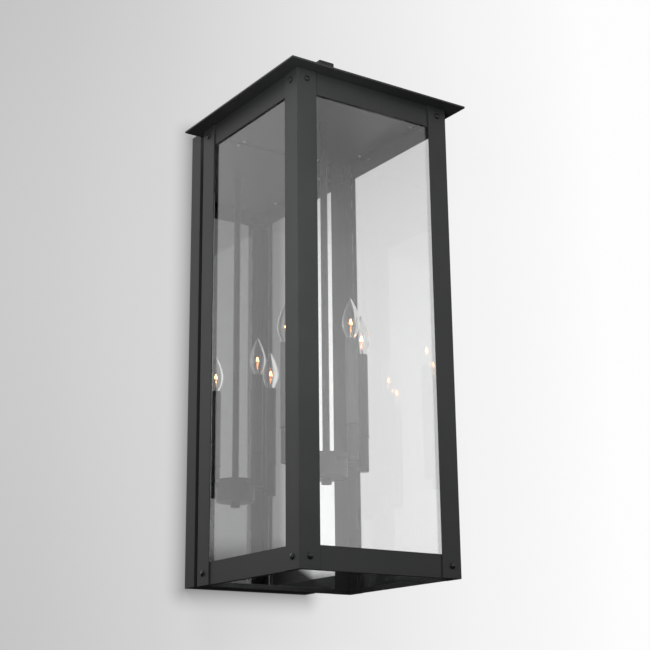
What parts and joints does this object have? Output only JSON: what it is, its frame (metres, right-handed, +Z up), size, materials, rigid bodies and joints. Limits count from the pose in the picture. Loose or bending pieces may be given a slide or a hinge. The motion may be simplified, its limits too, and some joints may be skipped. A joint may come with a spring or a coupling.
{
  "type": "outdoor wall lantern",
  "caption": "Tall square wall lantern with riveted angle posts, clear panes, a mirror back, a hipped roof and a candle cluster on a centre stem.",
  "frame": {"origin": "centre of the wall bracket's back face, on the wall, at mid-height and mid-width of the back plate", "axes": "+Z up, -Y out of the wall towards the room, +X to the right as seen from in front"},
  "size_m": [0.383, 0.4619, 0.9866],
  "materials": {
    "black_coat": "finely textured satin black powder coat, slightly green-grey",
    "sleeve_black": "satin black candle sleeve",
    "clear_glass": "clear flat glass, polished",
    "bulb_glass": "clear blown lamp glass",
    "mirror": "silvered behind flat glass",
    "zinc_steel": "zinc plated, dull bright",
    "brass": "bright brass",
    "socket_plastic": "black phenolic, matt"
  },
  "bodies": {
    "root": {"arm_back": "black_coat", "arm_front": "black_coat", "arm_left": "black_coat", "arm_right": "black_coat", "back_panel": "black_coat", "back_plate": "black_coat", "bottom_rail_back": "black_coat", "bottom_rail_front": "black_coat", "bottom_rail_left": "black_coat", "bottom_rail_right": "black_coat", "candle_cup_back": "black_coat", "candle_cup_front": "black_coat", "candle_cup_left": "black_coat", "candle_cup_right": "black_coat", "candle_sleeve_back": "sleeve_black", "candle_sleeve_front": "sleeve_black", "candle_sleeve_left": "sleeve_black", "candle_sleeve_right": "sleeve_black", "ceiling_plate": "black_coat", "centre_pipe": "zinc_steel", "glass_front": "clear_glass", "glass_left": "clear_glass", "glass_right": "clear_glass", "hub": "black_coat", "hub_cover": "black_coat", "hub_finial": "black_coat", "lower_standoff": "black_coat", "mirror": "mirror", "post_back_left": "black_coat", "post_back_right": "black_coat", "post_front_left": "black_coat", "post_front_right": "black_coat", "riveted_gusset_bottom_back_left": "black_coat", "riveted_gusset_bottom_back_right": "black_coat", "riveted_gusset_bottom_front_left": "black_coat", "riveted_gusset_bottom_front_right": "black_coat", "riveted_gusset_top_back_left": "black_coat", "riveted_gusset_top_back_right": "black_coat", "riveted_gusset_top_front_left": "black_coat", "riveted_gusset_top_front_right": "black_coat", "socket_back": "socket_plastic", "socket_front": "socket_plastic", "socket_left": "socket_plastic", "socket_right": "socket_plastic", "stem": "black_coat", "stem_collar": "black_coat", "top_rail_back": "black_coat", "top_rail_front": "black_coat", "top_rail_left": "black_coat", "top_rail_right": "black_coat", "upper_standoff": "black_coat", "wall_bracket": "zinc_steel"},
    "roof": {"roof": "black_coat"},
    "roof_cap": {"roof_cap": "black_coat"},
    "cap_nut_left": {"cap_nut_left": "brass"},
    "cap_nut_right": {"cap_nut_right": "brass"},
    "bulb_front": {"bulb_front": "bulb_glass"},
    "bulb_right": {"bulb_right": "bulb_glass"},
    "bulb_back": {"bulb_back": "bulb_glass"},
    "bulb_left": {"bulb_left": "bulb_glass"}
  },
  "joints": [
    {"name": "roof_lift", "type": "slide", "parent": "root", "child": "roof", "axis": [0, 0, 1], "range_m": [0, 0.1]},
    {"name": "roof_cap_turn", "type": "hinge", "parent": "roof", "child": "roof_cap", "pos_m": [0, -0.2704, 0.5122], "axis": [0, 0, 1], "continuous": true},
    {"name": "bulb_right_turn", "type": "hinge", "parent": "root", "child": "bulb_right", "pos_m": [0.081, -0.2704, -0.0348], "axis": [0, 0, 1], "continuous": true},
    {"name": "bulb_back_turn", "type": "hinge", "parent": "root", "child": "bulb_back", "pos_m": [0, -0.1894, -0.0348], "axis": [0, 0, 1], "continuous": true},
    {"name": "bulb_left_turn", "type": "hinge", "parent": "root", "child": "bulb_left", "pos_m": [-0.081, -0.2704, -0.0348], "axis": [0, 0, 1], "continuous": true},
    {"name": "bulb_front_turn", "type": "hinge", "parent": "root", "child": "bulb_front", "pos_m": [0, -0.3514, -0.0348], "axis": [0, 0, 1], "continuous": true},
    {"name": "cap_nut_left_turn", "type": "hinge", "parent": "root", "child": "cap_nut_left", "pos_m": [-0.0476, -0.0385, 0], "axis": [0, -1, 0], "continuous": true},
    {"name": "cap_nut_right_turn", "type": "hinge", "parent": "root", "child": "cap_nut_right", "pos_m": [0.0476, -0.0385, 0], "axis": [0, -1, 0], "continuous": true}
  ]
}
